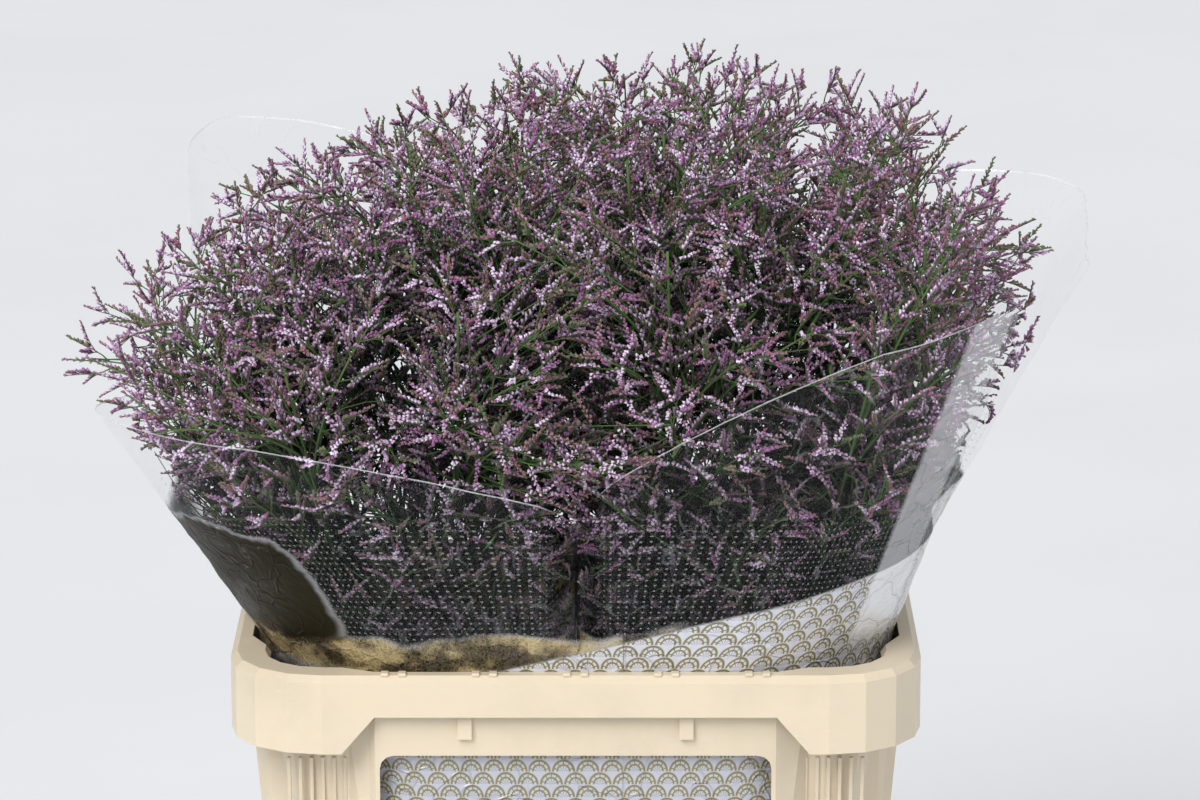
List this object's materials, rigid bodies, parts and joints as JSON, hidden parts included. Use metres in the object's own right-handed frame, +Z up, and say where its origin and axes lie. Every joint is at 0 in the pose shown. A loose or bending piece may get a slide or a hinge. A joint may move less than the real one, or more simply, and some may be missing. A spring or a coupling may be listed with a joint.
{
  "type": "dried statice",
  "caption": "Fine-branched lilac statice in clear florist's sleeves, standing in a cream flower bucket with a raised collar.",
  "frame": {"origin": "middle of the flat underside of the bucket, on the surface that it stands on", "axes": "+Z up, +X along the bucket's long side to the right as seen from the front, front facing -Y"},
  "size_m": [0.6126, 0.4497, 0.7473],
  "materials": {
    "cream_plastic": "moulded polypropylene, slightly scuffed",
    "statice": "dry stems with lilac papery florets",
    "clear_film": "clear glossy film",
    "rubber": "natural rubber band"
  },
  "bodies": {
    "root": {"bucket": "cream_plastic", "bucket_collar": "cream_plastic", "sleeve_front_left": "clear_film", "sleeve_front_right": "clear_film", "sleeve_back_left": "clear_film", "sleeve_back_right": "clear_film", "tie_front_left": "rubber", "tie_front_right": "rubber", "tie_back_left": "rubber", "tie_back_right": "rubber", "spray_front_left_1": "statice", "spray_front_left_2": "statice", "spray_front_left_3": "statice", "spray_front_left_4": "statice", "spray_front_left_5": "statice", "spray_front_left_6": "statice", "spray_front_left_7": "statice", "spray_front_right_1": "statice", "spray_front_right_2": "statice", "spray_front_right_3": "statice", "spray_front_right_4": "statice", "spray_front_right_5": "statice", "spray_front_right_6": "statice", "spray_front_right_7": "statice", "spray_back_left_1": "statice", "spray_back_left_2": "statice", "spray_back_left_3": "statice", "spray_back_left_4": "statice", "spray_back_left_5": "statice", "spray_back_left_6": "statice", "spray_back_left_7": "statice", "spray_back_right_1": "statice", "spray_back_right_2": "statice", "spray_back_right_3": "statice", "spray_back_right_4": "statice", "spray_back_right_5": "statice", "spray_back_right_6": "statice", "spray_back_right_7": "statice"}
  },
  "joints": []
}
